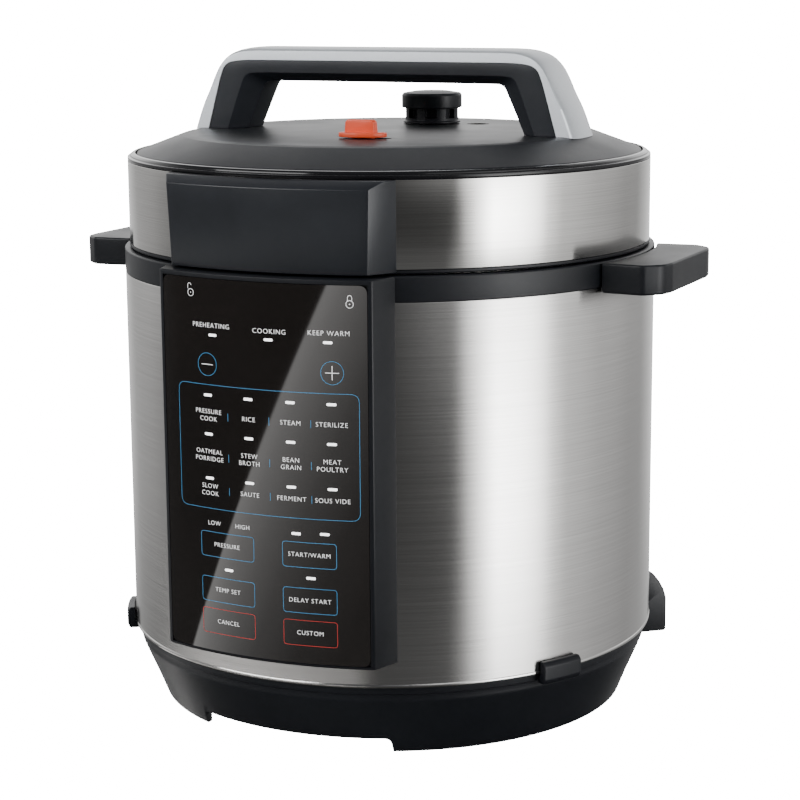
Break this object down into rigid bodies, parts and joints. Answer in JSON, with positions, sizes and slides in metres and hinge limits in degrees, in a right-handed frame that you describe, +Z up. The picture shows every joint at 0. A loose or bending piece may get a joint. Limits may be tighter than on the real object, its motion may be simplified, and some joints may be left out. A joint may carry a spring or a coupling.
{
  "type": "electric pressure cooker",
  "caption": "Round countertop electric pressure cooker with a twist-lock lid, bar handle, steam valve, quick-release slider, touch panel, cooking pot and condensation cup.",
  "frame": {"origin": "on the pot's axis, on the table between the feet", "axes": "+Z up along the pot's axis, -Y to the front where the control panel is, +X to the right seen from the front"},
  "size_m": [0.3224, 0.293, 0.3327],
  "materials": {
    "black_plastic": "finely textured satin",
    "gloss_black": "polished",
    "panel_gloss": "polished hard-coat over print",
    "brushed_steel": "brushed round the body",
    "pot_steel": "satin, turned",
    "dark_steel": "satin",
    "screw_steel": "zinc plated",
    "aluminium": "satin",
    "silver_paint": "metallic silver, satin",
    "orange_plastic": "satin",
    "silicone": "translucent matt",
    "rubber": "matt",
    "circuit_board": "lacquered",
    "part_black": "moulded",
    "clear_plastic": "smoked, clear",
    "brass": "plated",
    "ribbon": "satin"
  },
  "bodies": {
    "cooker_body": {"base_shell": "black_plastic", "foot_1": "rubber", "foot_2": "rubber", "foot_3": "rubber", "foot_4": "rubber", "base_screw_1": "screw_steel", "base_screw_2": "screw_steel", "base_screw_3": "screw_steel", "body_shell": "brushed_steel", "shell_clip_left": "black_plastic", "shell_clip_right": "black_plastic", "collar_ring": "black_plastic", "side_handle_right": "black_plastic", "side_handle_left": "black_plastic", "outer_pot": "aluminium", "heating_plate": "aluminium", "heating_element": "dark_steel", "sensor_bracket": "dark_steel", "thermal_fuse": "dark_steel", "power_board": "circuit_board", "relay": "part_black", "transformer": "part_black", "capacitor": "part_black", "cup_bracket": "black_plastic", "inlet_housing": "black_plastic", "inlet_pin_1": "brass", "inlet_pin_2": "brass", "inlet_pin_3": "brass", "panel_frame": "black_plastic", "panel_glass": "panel_gloss", "control_board": "circuit_board", "display_module": "part_black", "ribbon_cable": "ribbon"},
    "sensor": {"sensor_button": "aluminium", "sensor_spring": "screw_steel"},
    "cup": {"condensation_cup": "clear_plastic"},
    "cooking_pot": {"inner_pot": "pot_steel"},
    "lid_seal": {"sealing_ring": "silicone", "seal_rack": "screw_steel"},
    "lid": {"lid_cover": "black_plastic", "lid_trim_ring": "gloss_black", "lid_band": "brushed_steel", "lid_lower_ring": "black_plastic", "lid_block": "black_plastic", "lid_inner_plate": "pot_steel", "lid_centre_post": "black_plastic", "lid_centre_screw": "screw_steel", "lid_handle": "black_plastic", "lid_handle_cap": "silver_paint", "handle_screw_left": "screw_steel", "handle_screw_right": "screw_steel", "exhaust_pipe": "dark_steel", "pipe_nut": "screw_steel", "steam_shield": "dark_steel"},
    "quick_release": {"release_slider": "orange_plastic", "release_lever": "part_black"},
    "steam_valve": {"steam_knob": "black_plastic"},
    "float": {"float_valve": "dark_steel", "float_seal": "silicone"}
  },
  "joints": [
    {"name": "lid_lift", "type": "slide", "parent": "cooker_body", "child": "lid_seal", "axis": [0, 0, 1], "range_m": [0, 0.3]},
    {"name": "lid_turn", "type": "hinge", "parent": "lid_seal", "child": "lid", "pos_m": [0, 0, 0.23], "axis": [0, 0, 1], "range_deg": [-22.5, 0]},
    {"name": "pot_lift", "type": "slide", "parent": "cooker_body", "child": "cooking_pot", "axis": [0, 0, 1], "range_m": [0, 0.15]},
    {"name": "sensor_rise", "type": "slide", "parent": "cooker_body", "child": "sensor", "axis": [0, 0, 1], "range_m": [0, 0.0025]},
    {"name": "cup_pull", "type": "slide", "parent": "cooker_body", "child": "cup", "axis": [0, 1, 0], "range_m": [0, 0.035]},
    {"name": "release_slide", "type": "slide", "parent": "lid", "child": "quick_release", "axis": [1, 0, 0], "range_m": [0, 0.008]},
    {"name": "steam_valve_lift", "type": "slide", "parent": "lid", "child": "steam_valve", "axis": [0, 0, 1], "range_m": [0, 0.003]},
    {"name": "float_rise", "type": "slide", "parent": "lid", "child": "float", "axis": [0, 0, 1], "range_m": [0, 0.005]}
  ],
  "couplings": [
    {"joint": "pot_lift", "follows": "lid_lift", "ratio": 0.5},
    {"joint": "sensor_rise", "follows": "lid_lift", "ratio": 0.0083333},
    {"joint": "steam_valve_lift", "follows": "release_slide", "ratio": 0.375}
  ]
}
